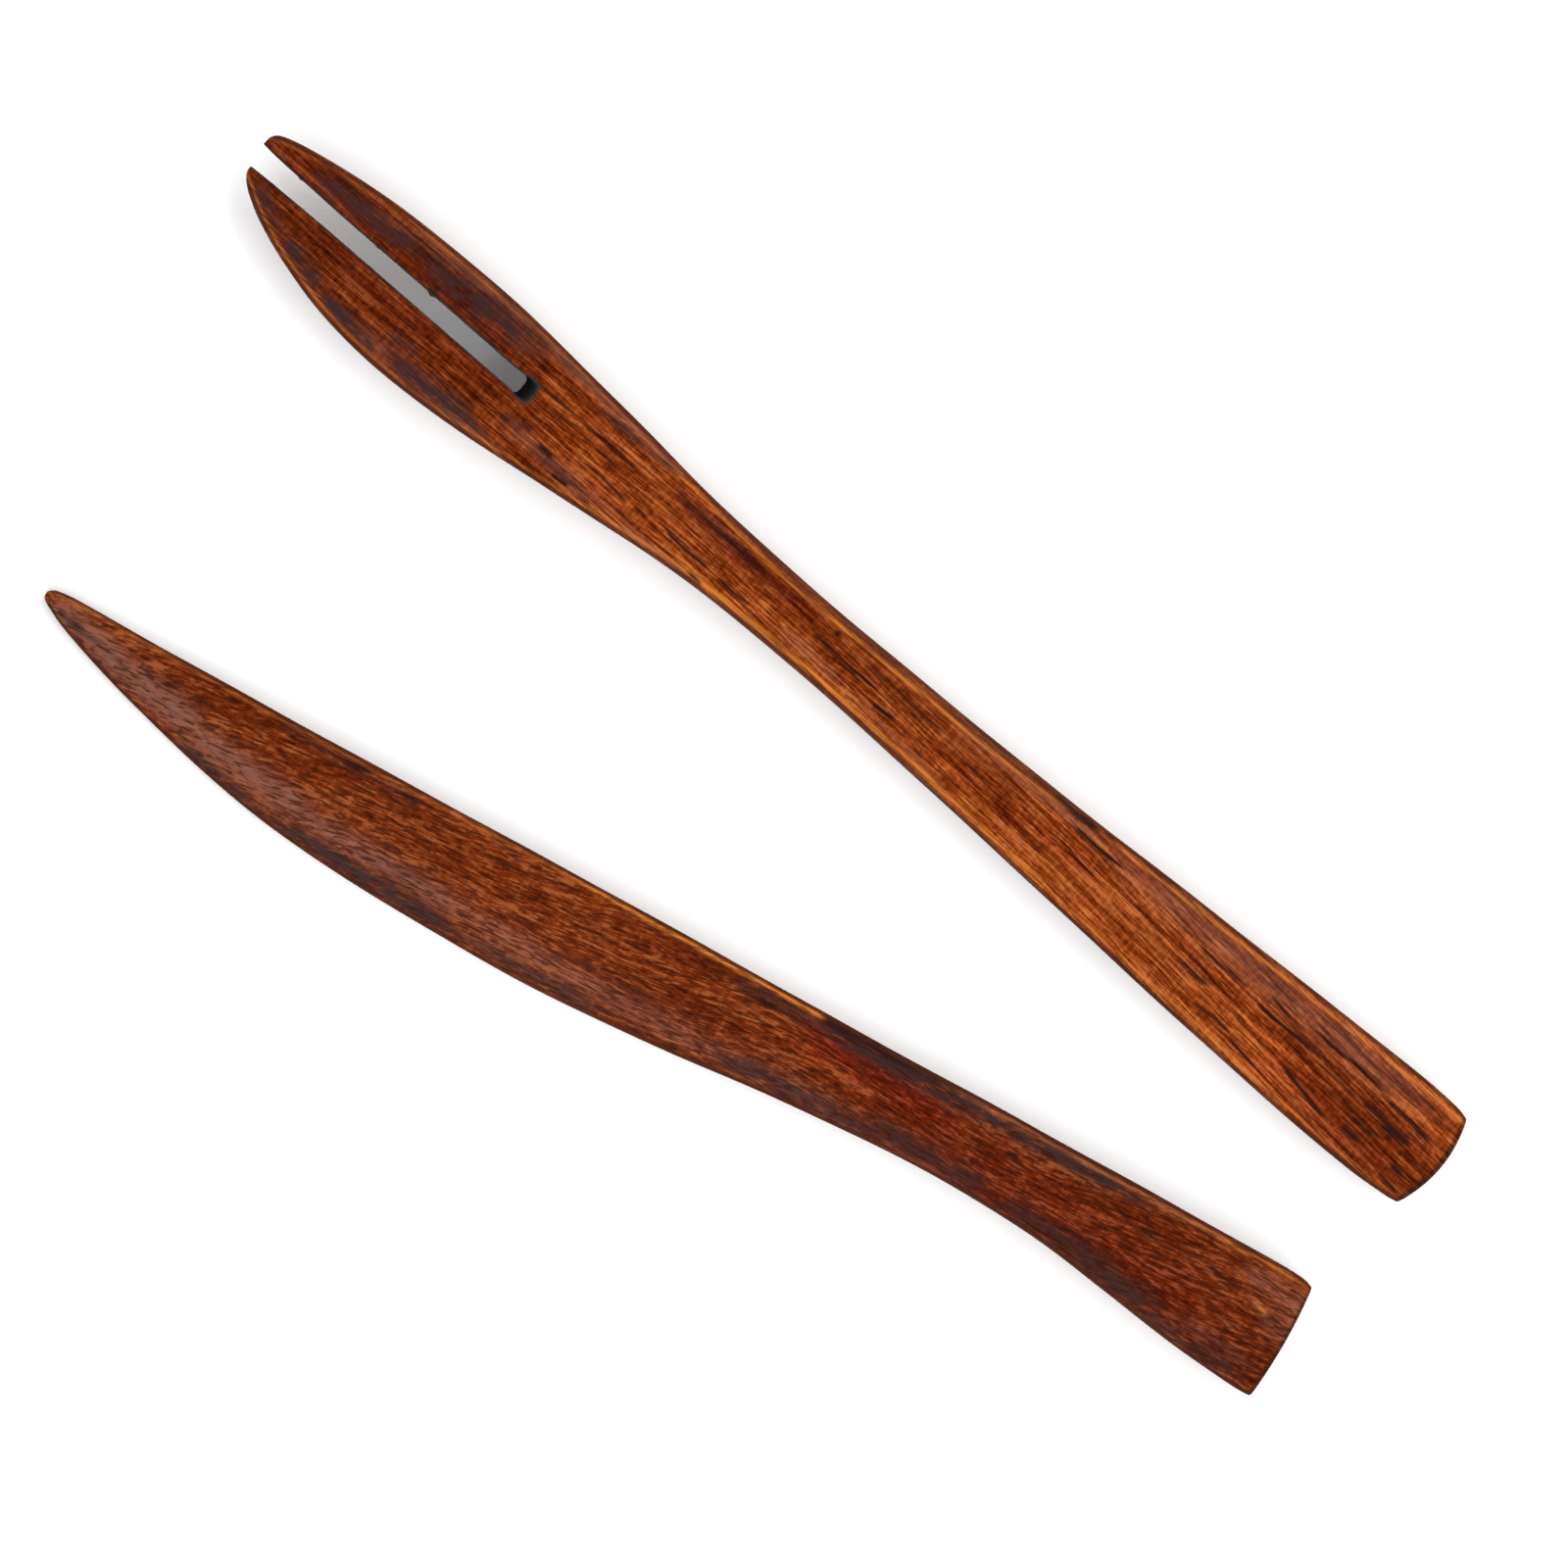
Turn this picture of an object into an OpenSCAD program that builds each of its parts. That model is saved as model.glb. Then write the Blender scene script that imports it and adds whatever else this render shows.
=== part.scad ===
// Pair of carved wooden clay modeling tools lying side by side: a fork and a knife.
// Millimetres. +X runs from the working tips to the butts and +Z is up from the table.

/* [Fork tool] */
// Length from the tines to the butt
fork_length = 175; // [150:1:200]
// Thickness of the handle at the neck
fork_neck_thickness = 5.8; // [4.5:0.1:7]
// Thickness of the handle at the butt
fork_butt_thickness = 5; // [4:0.1:6]
// Thickness of each tine at its end
tine_thickness = 1.8; // [1.4:0.1:2.4]
// Height of the underside of the tines above the table
tine_lift = 4; // [2:0.1:6]
// Width of the sawn slot between the tines
slot_width = 2.2; // [1.6:0.1:3]
// Extra width of the slot at the tine ends, where it is worn
slot_flare = 0.4; // [0:0.1:1]
// Length of the slot
slot_length = 40; // [34:0.5:46]

/* [Knife tool] */
// Length from the point to the butt
knife_length = 163; // [140:1:190]
// Thickness of the handle at the butt
knife_butt_thickness = 5; // [4:0.1:6]
// Thickness of the straight back, half way along the blade
spine_thickness = 3.9; // [3:0.1:5]
// Thickness of the curved cutting edge
edge_thickness = 1.1; // [0.8:0.1:1.6]
// Width of the bevel between the cutting edge and the flat of the blade
bevel_width = 8; // [5:0.5:10]

/* [Shared shape] */
// Radius that the arrises are sanded to
arris_radius = 1; // [0.5:0.1:1.3]
// Height of the crown across the fork's top face
crown = 0.25; // [0:0.05:0.5]

/* [Layout] */
// Angle between the two tools
knife_turn = 10.8; // [0:0.1:20]
// Distance from the fork's tine ends to the knife's point, along the fork
knife_set_back = 14.5; // [0:0.5:30]
// Distance from the fork's centre line to the knife's, measured at the knife's point
knife_gap = 56.2; // [50:0.1:80]

/* [Hidden] */

// Spacing of the cross-sections, and the number of steps round each arris and each end
ring_step = 2;
arris_steps = 3;
end_steps = 4;
// Radii that the ends of the tools round over with
fork_end_radius = 0.8 * arris_radius;
knife_end_radius = 0.5 * arris_radius;
// Lengths that the outline tables below are drawn for
fork_drawn = 175;
knife_drawn = 163;
// How far the middle of each butt stands out past its corners
fork_butt_bow = 1.2;
knife_butt_bow = 0.5;
// Half widths of the butts, and how far along the tool their bow fades out
fork_butt_half = 6.3;
knife_butt_half = 7;
bow_reach = 25;
// Middle of the slot at the tine ends, how much it drifts on the way in, and its worn length
slot_mouth_y = 1.3;
slot_drift = -0.015;
worn_length = 12;
// In a fork section's list of points, the wide tine has those up to wide_top and from wide_under on,
// and the narrow tine has the others
wide_top = arris_steps + 2;
wide_under = 3 * arris_steps + 8;

// Fork seen from above: [distance from the tine ends, lower edge, upper edge]
fork_plan = [
    [0, -1.2, 4.3], [2, -2.4, 5.1], [5, -4.05, 5.8], [10, -5.95, 6.6], [17, -7.65, 7.3], [26, -8.4, 7.6],
    [36, -7.95, 7.4], [50, -6.25, 6.25], [64, -4.5, 4.95], [78, -3.9, 4.4], [95, -4.15, 4.4],
    [115, -5.05, 4.7], [135, -6, 5.55], [155, -6.65, 6.25], [168, -6.75, 6.6], [175, -6.2, 6.4]
];
// Fork from the side: [distance from the tine ends, underside, top]
fork_side = [
    [0, tine_lift, tine_lift + tine_thickness], [10, 0.63 * tine_lift, 5.6], [25, 0.25 * tine_lift, 5.4],
    [42, 0.03 * tine_lift, 5.4], [60, 0, fork_neck_thickness - 0.1], [80, 0, fork_neck_thickness],
    [120, 0, 5.6], [160, 0, fork_butt_thickness + 0.1], [175, 0, fork_butt_thickness]
];
// Knife seen from above: [distance from the point, cutting edge, back]
knife_plan = [
    [0, 3.9, 5.4], [1, 3.5, 5.65], [3, 2.5, 5.85], [8, 0.7, 5.9], [15, -1.45, 5.87], [25, -4, 5.9],
    [35, -5.85, 5.95], [45, -6.75, 6.1], [60, -7.2, 6.35], [72, -7, 6.5], [85, -6.05, 6.55],
    [100, -4.55, 6.6], [112, -3.65, 6.75], [122, -3.4, 6.9], [132, -3.9, 6.93], [142, -5.3, 7],
    [152, -6.85, 7.05], [159, -7.5, 7.05], [161.5, -7.5, 6.75], [163, -7.5, 6.2]
];
// Knife's thickness: [distance from the point, at the back, at the cutting edge, width of the bevel]
knife_side = [
    [0, 1.7, 1.3, 1.2], [10, 2.4, edge_thickness, 4], [30, 3.3, edge_thickness, 0.9 * bevel_width],
    [60, spine_thickness, edge_thickness, bevel_width], [85, 4.2, 1.6, bevel_width],
    [105, 4.5, 3.2, 6], [122, 4.7, 4.6, 3], [163, knife_butt_thickness, knife_butt_thickness, 3]
];

// Index of the table's span that holds x
function span(table, x, i = 0) = (i >= len(table) - 2 || x < table[i + 1][0]) ? i : span(table, x, i + 1);

// Slope of column k at row i, from the rows on either side
function slope(table, k, i) =
    let (a = table[max(i - 1, 0)], b = table[min(i + 1, len(table) - 1)])
    (b[k] - a[k]) / (b[0] - a[0]);

// Smooth curve through column k of a table, at x
function smooth(table, k, x) =
    let (i = span(table, x), w = table[i + 1][0] - table[i][0], t = (x - table[i][0]) / w)
    (2 * t - 3) * t * t * (table[i][k] - table[i + 1][k]) + table[i][k]
    + w * t * (1 - t) * ((1 - t) * slope(table, k, i) - t * slope(table, k, i + 1));

// Number of steps between sections from a to b, and the evenly spaced places after a, up to b
function steps(a, b) = ceil((b - a) / ring_step);
function even(a, b) = [for (i = [1:steps(a, b)]) a + (b - a) * i / steps(a, b)];

// Places of the sections along a tool: close together at both round ends, and one exactly at stop
function stations(length, r, stop) =
    let (ease = [for (i = [0:end_steps - 1]) r * (1 - cos(90 * i / end_steps))])
    concat(
        ease, [r], even(r, stop), even(stop, length - r),
        [for (i = [end_steps - 1:-1:0]) length - ease[i]]
    );

// How far a section is drawn in at s, where the end of the tool rounds over
function draw_in(s, length, r) =
    let (d = max(r - s, s - (length - r), 0) / r) r * (1 - sqrt(max(0, 1 - d * d)));

// Rounded corner of a section, from angle a down to a - 90, as [across, up] points
function corner(y, z, r, a) =
    [for (i = [0:arris_steps]) let (t = a - 90 * i / arris_steps) [y + r * cos(t), z + r * sin(t)]];

// How far a point of a section moves back, so that the butt ends in a shallow arc
function bowed(s, y, length, half, bow) =
    bow * pow(y / half, 2) * pow(max(0, (s - (length - bow_reach)) / bow_reach), 2);

// Band of triangles between sections i and i + 1, of n points each
function band(i, n) =
    [for (j = [0:n - 1])
        let (a = i * n + j, b = i * n + (j + 1) % n)
        each [[a, b, b + n], [a, b + n, a + n]]];

// Fan of triangles that closes section i over the points in ids, facing the tips
function cap(i, ids, n) = [for (k = [1:len(ids) - 2]) [ids[0], ids[k + 1], ids[k]] + [i, i, i] * n];

function reversed(list) = [for (i = [len(list) - 1:-1:0]) list[i]];

// Closed solid through sections that all have the same number of points
module loft(sections) {
    n = len(sections[0]);
    m = len(sections);
    ring = [for (j = [0:n - 1]) j];
    polyhedron(
        points = [for (section = sections) each section],
        faces = concat(
            [for (i = [0:m - 2]) each band(i, n)],
            cap(0, ring, n),
            cap(m - 1, reversed(ring), n)
        ),
        convexity = 6
    );
}

// Section of the fork at s: a rounded bar with a crowned top, with points along the slot's edges
function fork_section(s) =
    let (
        x = s * fork_drawn / fork_length,
        d = draw_in(s, fork_length, fork_end_radius),
        y0 = smooth(fork_plan, 1, x) + d,
        y1 = smooth(fork_plan, 2, x) - d,
        z0 = max(0, smooth(fork_side, 1, x)) + 0.5 * d,
        z1 = smooth(fork_side, 2, x) - 0.5 * d,
        middle = slot_mouth_y + slot_drift * s,
        half = (slot_width + slot_flare * max(0, 1 - s / worn_length)) / 2 + 0.3 * (s < slot_length ? d : 0),
        r = min(arris_radius, 0.45 * (z1 - z0), 0.8 * (middle - half - y0), 0.8 * (y1 - middle - half)),
        tops = [
            (y0 + r + middle - half) / 2, middle - half, middle + half, (y1 - r + middle + half) / 2
        ],
        outline = concat(
            corner(y0 + r, z1 - crown - r, r, 180),
            [for (y = tops) [y, z1 - crown * pow((2 * y - y0 - y1) / (y1 - y0), 2)]],
            corner(y1 - r, z1 - crown - r, r, 90),
            corner(y1 - r, z0 + r, r, 0),
            [[middle + half, z0], [middle - half, z0]],
            corner(y0 + r, z0 + r, r, -90)
        )
    )
    [for (p = outline) [s - bowed(s, p[0], fork_length, fork_butt_half, fork_butt_bow), p[0], p[1]]];

// Section of the knife at s: flat underneath, with the top falling away to the cutting edge
function knife_section(s) =
    let (
        x = s * knife_drawn / knife_length,
        d = draw_in(s, knife_length, knife_end_radius),
        y0 = smooth(knife_plan, 1, x) + d,
        y1 = smooth(knife_plan, 2, x) - d,
        back = smooth(knife_side, 1, x) - 0.5 * d,
        edge = min(back, smooth(knife_side, 2, x)) - 0.5 * d,
        bevel = min(smooth(knife_side, 3, x), 0.8 * (y1 - y0)),
        z0 = 0.5 * d,
        r1 = min(arris_radius, 0.4 * (back - z0), 0.3 * (y1 - y0)),
        r0 = min(arris_radius, 0.4 * (edge - z0), 0.3 * (y1 - y0)),
        outline = concat(
            corner(y0 + r0, edge - r0, r0, 180),
            [for (v = [0.15, 0.3, 0.5, 0.75, 1])
                [y0 + r0 + v * (bevel - r0), edge + (back - edge) * (1 - pow(1 - v, 2))]],
            corner(y1 - r1, back - r1, r1, 90),
            corner(y1 - r1, z0 + r1, r1, 0),
            corner(y0 + r0, z0 + r0, r0, -90)
        )
    )
    [for (p = outline) [s - bowed(s, p[0], knife_length, knife_butt_half, knife_butt_bow), p[0], p[1]]];

fork_stations = stations(fork_length, fork_end_radius, slot_length);
fork_sections = [for (s = fork_stations) fork_section(s)];
// Number of the section at the slot's closed end
split = end_steps + steps(fork_end_radius, slot_length);
knife_sections = [for (s = stations(knife_length, knife_end_radius, knife_length / 2)) knife_section(s)];

// Place in the fork's frame of a point of the knife's own
function knife_point(p) = [
    knife_set_back + p[0] * cos(knife_turn) - p[1] * sin(knife_turn),
    -knife_gap + p[0] * sin(knife_turn) + p[1] * cos(knife_turn)
];

plan_points = concat(
    [for (section = fork_sections, p = section) p],
    [for (section = knife_sections, p = section) knife_point(p)]
);
// Middle of the pair seen from above, which becomes the origin
centre = [for (k = [0, 1]) (min([for (p = plan_points) p[k]]) + max([for (p = plan_points) p[k]])) / 2];

// Moves a piece from the fork's frame to the pair's
module place_fork() {
    translate([-centre[0], -centre[1], 0]) children();
}

// The fork is one piece of wood. It is drawn as three solids that meet at the slot's closed end.
module fork_handle() {
    color("saddlebrown") place_fork()
        loft([for (i = [split:len(fork_sections) - 1]) fork_sections[i]]);
}

module fork_wide_tine() {
    color("sienna") place_fork()
        loft([for (i = [0:split]) [for (j = [0:len(fork_sections[0]) - 1])
            if (j <= wide_top || j >= wide_under) fork_sections[i][j]]]);
}

module fork_narrow_tine() {
    color("sienna") place_fork()
        loft([for (i = [0:split]) [for (j = [wide_top + 1:wide_under - 1]) fork_sections[i][j]]]);
}

module knife_tool() {
    color("brown") place_fork() translate([knife_set_back, -knife_gap, 0]) rotate([0, 0, knife_turn])
        loft(knife_sections);
}

fork_handle();
fork_wide_tine();
fork_narrow_tine();
knife_tool();
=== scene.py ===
"""A pair of carved wooden clay modeling tools: a slotted fork and a knife, lying on a pale table."""
import math

import bmesh
import bpy
import numpy as np
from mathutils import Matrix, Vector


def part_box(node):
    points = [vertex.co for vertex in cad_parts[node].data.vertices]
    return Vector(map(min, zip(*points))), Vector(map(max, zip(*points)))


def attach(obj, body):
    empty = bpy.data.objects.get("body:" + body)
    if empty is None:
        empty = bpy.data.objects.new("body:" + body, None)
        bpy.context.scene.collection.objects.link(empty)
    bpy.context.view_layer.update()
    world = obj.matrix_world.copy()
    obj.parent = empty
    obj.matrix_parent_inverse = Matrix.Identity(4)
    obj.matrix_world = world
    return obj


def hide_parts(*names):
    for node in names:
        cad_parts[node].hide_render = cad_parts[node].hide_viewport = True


# metres in a millimetre
MM = 0.001

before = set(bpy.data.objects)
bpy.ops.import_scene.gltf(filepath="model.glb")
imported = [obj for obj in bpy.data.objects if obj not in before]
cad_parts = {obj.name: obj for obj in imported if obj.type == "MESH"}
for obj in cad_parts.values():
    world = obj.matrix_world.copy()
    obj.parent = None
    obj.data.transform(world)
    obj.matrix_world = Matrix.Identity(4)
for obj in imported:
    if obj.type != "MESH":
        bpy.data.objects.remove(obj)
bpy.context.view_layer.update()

# ------------ camera

# the point on the table under the camera, and the camera's height, in millimetres
AIM = (3.24, 9.43)
CAMERA_HEIGHT = 2000.0
# turn of the picture, in degrees, and the lens and sensor, in millimetres
CAMERA_TURN = 40.14
LENS = 408.07
SENSOR = 36.0
# what the camera sees, in metres
SEES = (0.01, 20.0)


def add(name, data):
    """Adds an object to the scene."""
    item = bpy.data.objects.new(name, data)
    bpy.context.scene.collection.objects.link(item)
    return item


def make_camera():
    """The camera looks straight down, and the tools run down to the right."""
    data = bpy.data.cameras.new("camera")
    data.lens = LENS
    data.sensor_width = SENSOR
    data.clip_start, data.clip_end = SEES
    camera = add("camera", data)
    camera.location = (AIM[0] * MM, AIM[1] * MM, CAMERA_HEIGHT * MM)
    camera.rotation_euler = (0.0, 0.0, math.radians(CAMERA_TURN))
    bpy.context.scene.camera = camera


make_camera()

# ------------ outlines, in each tool's own millimetres

# Each tool's x runs from its working tip to its butt, y from its wide tine or cutting edge
# towards the other side, and z up from the table.

# distance along the fork, lower edge, upper edge
FORK_PLAN = [
    (0, -1.2, 4.3),
    (2, -2.4, 5.1),
    (5, -4.05, 5.8),
    (10, -5.95, 6.6),
    (17, -7.65, 7.3),
    (26, -8.4, 7.6),
    (36, -7.95, 7.4),
    (50, -6.25, 6.25),
    (64, -4.5, 4.95),
    (78, -3.9, 4.4),
    (95, -4.15, 4.4),
    (115, -5.05, 4.7),
    (135, -6, 5.55),
    (155, -6.65, 6.25),
    (168, -6.75, 6.6),
    (175, -6.2, 6.4),
]
# distance along the fork, underside, top
FORK_SIDE = [
    (0, 4, 5.8),
    (10, 2.52, 5.6),
    (25, 1.0, 5.4),
    (42, 0.12, 5.4),
    (60, 0, 5.7),
    (80, 0, 5.8),
    (120, 0, 5.6),
    (160, 0, 5.1),
    (175, 0, 5),
]
# distance along the knife, lower edge, upper edge
KNIFE_PLAN = [
    (0, 3.9, 5.4),
    (1, 3.5, 5.65),
    (3, 2.5, 5.85),
    (8, 0.7, 5.9),
    (15, -1.45, 5.87),
    (25, -4, 5.9),
    (35, -5.85, 5.95),
    (45, -6.75, 6.1),
    (60, -7.2, 6.35),
    (72, -7, 6.5),
    (85, -6.05, 6.55),
    (100, -4.55, 6.6),
    (112, -3.65, 6.75),
    (122, -3.4, 6.9),
    (132, -3.9, 6.93),
    (142, -5.3, 7),
    (152, -6.85, 7.05),
    (159, -7.5, 7.05),
    (161.5, -7.6, 6.9),
    (163, -7.5, 6.7),
]
# distance along the knife, back, cutting edge, width of the bevel
KNIFE_SIDE = [
    (0, 1.7, 1.3, 1.2),
    (10, 2.4, 1.1, 4),
    (30, 3.3, 1.1, 7.2),
    (60, 3.9, 1.1, 8),
    (85, 4.2, 1.6, 8),
    (105, 4.5, 3.2, 6),
    (122, 4.7, 4.6, 3),
    (163, 5, 5, 3),
]
# length of the fork, that of the knife's outline, and where the knife's butt really ends
FORK_LENGTH = 175.1
KNIFE_LENGTH = 162.9
KNIFE_END = 162.6
# angle between the two tools, in degrees
KNIFE_TURN = 10.8

# how far each butt bows out, and half its width; the CAD knife's outline has a bow of its own
FORK_BOW = 1.2
FORK_BUTT_HALF = 6.3
KNIFE_OUTLINE_BOW = 0.5
KNIFE_BOW = 0.35
KNIFE_BUTT_HALF = 7.0
# length that a butt's bow bends
BOW_REACH = 25.0
# how far a butt's rim reaches back and draws in, and its rings' turns in degrees
FORK_RIM = 0.5
KNIFE_RIM = 0.35
RIM_INSET = 0.5
RIM_TURNS = (18, 36, 54, 72, 90)

# the slot's middle at the tips, and its drift per millimetre
SLOT_START_Y = 1.3
SLOT_DRIFT = -0.015
# half the slot's width, and its flare over the first stretch
SLOT_HALF = 1.1
SLOT_FLARE = 0.2
SLOT_FLARE_LENGTH = 12.0
# extra half width at the very tips, and how soon it fades
MOUTH = 0.14
MOUTH_FADE = 1.2
# extra half width at the burnt closed end, and where it starts
BURNT = 0.12
BURNT_FROM = 38.8
# centre of the slot's closed end, and the radius of the slot's arrises
SLOT_CENTRE_X = 40.0
SLOT_EDGE = 0.17
# lean of the closed end at the table, and the height where the lean ends
SLOT_SLOPE = 1.7
SLOPE_HEIGHT = 5.4

# places of a side's points between the top and the underside
SIDE_SHARES = np.array([0.25, 0.5, 0.75])
# sizes of a flat end's rings, as shares of its own
CAP_SHARES = (0.8, 0.55, 0.3)


def smooth(rows, column, x):
    """A smooth curve through one column of a table."""
    knots = np.array([row[0] for row in rows], float)
    values = np.array([row[column] for row in rows], float)
    slopes = np.gradient(values, knots)
    slopes[1:-1] = (values[2:] - values[:-2]) / (knots[2:] - knots[:-2])
    i = np.clip(np.searchsorted(knots, x) - 1, 0, len(knots) - 2)
    gap = knots[i + 1] - knots[i]
    t = np.clip((x - knots[i]) / gap, 0, 1)
    left = (1 + 2 * t) * (1 - t) ** 2 * values[i] + t * (1 - t) ** 2 * gap * slopes[i]
    right = t * t * (3 - 2 * t) * values[i + 1] - t * t * (1 - t) * gap * slopes[i + 1]
    return left + right


def ease(x, low, high):
    """A smooth rise from 0 at low to 1 at high."""
    t = np.clip((x - low) / (high - low), 0, 1)
    return t * t * (3 - 2 * t)


def fade(x, low, high):
    """A smooth fall from 1 at low to 0 at high."""
    return 1 - ease(x, low, high)


def within(x, rise, fall):
    """1 between a rise and a fall, each given as (start, end)."""
    return ease(x, *rise) * fade(x, *fall)


def upright(values):
    """One number for each ring, as a column."""
    return values[:, None]


def arc_drop(t):
    """How far a quarter circle of radius 1 has fallen at t."""
    return 1 - np.sqrt(1 - t * t)


def slot_middle(x):
    """The slot's middle line."""
    return SLOT_START_Y + SLOT_DRIFT * x


def slot_half(x):
    """Half the slot's width."""
    flare = SLOT_FLARE * np.clip(1 - x / SLOT_FLARE_LENGTH, 0, 1)
    mouth = MOUTH * np.exp(-x / MOUTH_FADE)
    return SLOT_HALF + flare + mouth + BURNT * ease(x, BURNT_FROM, SLOT_CENTRE_X)


def wander(x, seed):
    """A slight unevenness of a hand-cut edge."""
    return 0.022 * np.sin(x / 3.1 + seed) + 0.03 * np.sin(x / 8.3 + 2.3 * seed) - 0.02


# ------------ shells made of rings


class Shell:
    """Points and faces of one closed piece, in its tool's own millimetres."""

    def __init__(self):
        self.blocks = []
        self.faces = []
        self.count = 0

    def add(self, points):
        """Takes an array of points and gives back their numbers."""
        shape = points.shape[:-1]
        size = int(np.prod(shape))
        ids = self.count + np.arange(size).reshape(shape)
        self.blocks.append(points.reshape(-1, 3))
        self.count += size
        return ids

    def skin(self, ids, closed=True):
        """Covers a grid of rings with four-sided faces."""
        ahead = np.roll(ids, -1, axis=1)
        last = ids.shape[1] if closed else ids.shape[1] - 1
        quads = np.stack([ids[:-1], ahead[:-1], ahead[1:], ids[1:]], -1)[:, :last]
        self.faces.extend(quads.reshape(-1, 4).tolist())

    def cap(self, loop, points):
        """Closes a loop with rings that shrink to its middle."""
        middle = points.mean(0)
        rings = [loop]
        for share in CAP_SHARES:
            rings.append(self.add(middle + (points - middle) * share))
        self.skin(np.array(rings))
        centre = int(self.add(middle[None])[0])
        inner = rings[-1].tolist()
        self.faces.extend([a, b, centre] for a, b in zip(inner, inner[1:] + inner[:1]))

    def end_with_rim(self, loop, points, reach_back):
        """Closes a butt with rings round its rim and a flat end."""
        rim = rim_rings(points, reach_back)
        ids = self.add(rim)
        self.skin(np.concatenate([loop[None], ids]))
        self.cap(ids[-1], rim[-1])

    def merged(self):
        """The points, with equal ones made one, and the faces."""
        points = np.concatenate(self.blocks)
        keys = np.round(points * 1e4).astype(np.int64)
        _, first, index = np.unique(keys, axis=0, return_index=True, return_inverse=True)
        index = index.reshape(-1)
        faces = []
        for face in self.faces:
            ring = [int(index[i]) for i in face]
            ring = [p for k, p in enumerate(ring) if p != ring[k - 1]]
            if len(ring) > 2:
                faces.append(ring)
        return points[first], faces


def rim_rings(points, reach_back):
    """Rings that round a butt's rim."""
    rings = []
    middle = points.mean(0)
    reach = np.abs(points - middle).max(0)
    for angle in np.radians(RIM_TURNS):
        inset = RIM_INSET * (1 - math.cos(angle))
        ring = points.copy()
        for axis in (1, 2):
            ring[:, axis] = middle[axis] + (ring[:, axis] - middle[axis]) * (1 - inset / reach[axis])
        ring[:, 0] += reach_back * math.sin(angle)
        rings.append(ring)
    return np.array(rings)


def corner(count, power):
    """Steps of a rounded corner: how far out and how far down."""
    angle = np.linspace(0, math.pi / 2, count)
    power = np.asarray(power, float)[..., None]
    return np.sin(angle) ** (2 / power), 1 - np.cos(angle) ** (2 / power)


def closed_section(y_top, z_top, y_low, z_low, y_side):
    """Joins the top, a side and the underside, which comes in the top's order."""
    y_low, z_low = y_low[:, ::-1], z_low[:, ::-1]
    z_side = z_top[:, -1:] + (z_low[:, :1] - z_top[:, -1:]) * SIDE_SHARES
    y_side = np.repeat(upright(y_side), len(SIDE_SHARES), 1)
    return np.concatenate([y_top, y_side, y_low], 1), np.concatenate([z_top, z_side, z_low], 1)


def bow(x, y, length, depth, half):
    """Bends the butt's end to a shallow arc."""
    reach = np.clip((x - (length - BOW_REACH)) / BOW_REACH, 0, 1)
    return x - depth * (y / half) ** 2 * reach**2


def stations(*runs):
    """Places along a tool: runs of (start, end, step)."""
    parts = []
    for start, end, step in runs:
        parts.append(np.arange(start, end - step / 2, step))
    parts.append([runs[-1][1]])
    return np.concatenate(parts)


# ------------ the fork

# points across the top and the underside, up the slot's wall and round its arrises
TOP_COLUMNS = 34
UNDER_COLUMNS = 9
WALL_COLUMNS = 5
EDGE_STEPS = 4
# points round the outer corners, at the top and underneath
TOP_CORNER_STEPS = 9
LOW_CORNER_STEPS = 6
# rings round the slot's closed end, and how square that end is
TURN_STEPS = 12
TURN_POWER = 3.6
# runs of the tines' rings (start, end, step), and where the handle's steps change
TINE_RUNS = [(0, 0.12, 0.03), (0.12, 1.2, 0.09), (1.2, SLOT_CENTRE_X, 0.24)]
HANDLE_FROM = 62
BUTT_FROM = 172.5
# radius of the lower corner, and the share of the room that a corner may take
LOW_CORNER = 0.9
TOP_CORNER_SHARE = 0.42
LOW_CORNER_SHARE = 0.4
# how far the sides bulge, and how far back the wide tine's tip starts
SIDE_BULGE = 0.02
WIDE_TINE_BACK = 0.5
# splinters on the narrow tine: place along the slot, length, height
SPLINTERS = [(5.7, 0.5, 0.14), (17.2, 0.7, 0.1), (25.3, 0.8, 0.3), (34.0, 0.5, 0.07)]


def out_turn(turn):
    """How far along a squarish turn, as a share of its radius."""
    return np.sin(turn) ** (2 / TURN_POWER)


def side_turn(turn):
    """How far to the side on a squarish turn, as a share of its radius."""
    return np.clip(np.cos(turn), 0, 1) ** (2 / TURN_POWER)


def fork_rings():
    """Places of the tines' rings, their turns round the slot's end, and the handle's rings."""
    before = stations(*TINE_RUNS)
    turn = np.linspace(0, math.pi / 2, TURN_STEPS + 1)[1:]
    radius = float(slot_half(SLOT_CENTRE_X)) + SLOT_EDGE
    around = SLOT_CENTRE_X + radius * out_turn(turn)
    start = SLOT_CENTRE_X + radius + 0.15
    end = FORK_LENGTH - FORK_RIM
    after = stations((start, HANDLE_FROM, 0.25), (HANDLE_FROM, BUTT_FROM, 0.42), (BUTT_FROM, end, 0.25))
    turns = np.concatenate([np.zeros(len(before)), turn])
    return np.concatenate([before, around]), turns, after


def fork_height(x, y):
    """Underside and top at a place, with their slight crown."""
    low = smooth(FORK_PLAN, 1, x)
    high = smooth(FORK_PLAN, 2, x)
    across = np.clip(np.abs(2 * (y - low) / (high - low) - 1), 0, 1)
    tip = fade(x, 0, 1.1)
    thick = smooth(FORK_SIDE, 2, x) - smooth(FORK_SIDE, 1, x)
    top = smooth(FORK_SIDE, 2, x) - 0.35 * across**2.5 - 0.3 * tip * thick
    under = smooth(FORK_SIDE, 1, x) + 0.12 * across**2 + 0.2 * tip * thick
    dents = 0.03 * np.sin(x / 6.7 + 0.4 * y) + 0.02 * np.sin(x / 2.9 - 0.8 * y)
    return under, top + dents - 0.03


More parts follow.
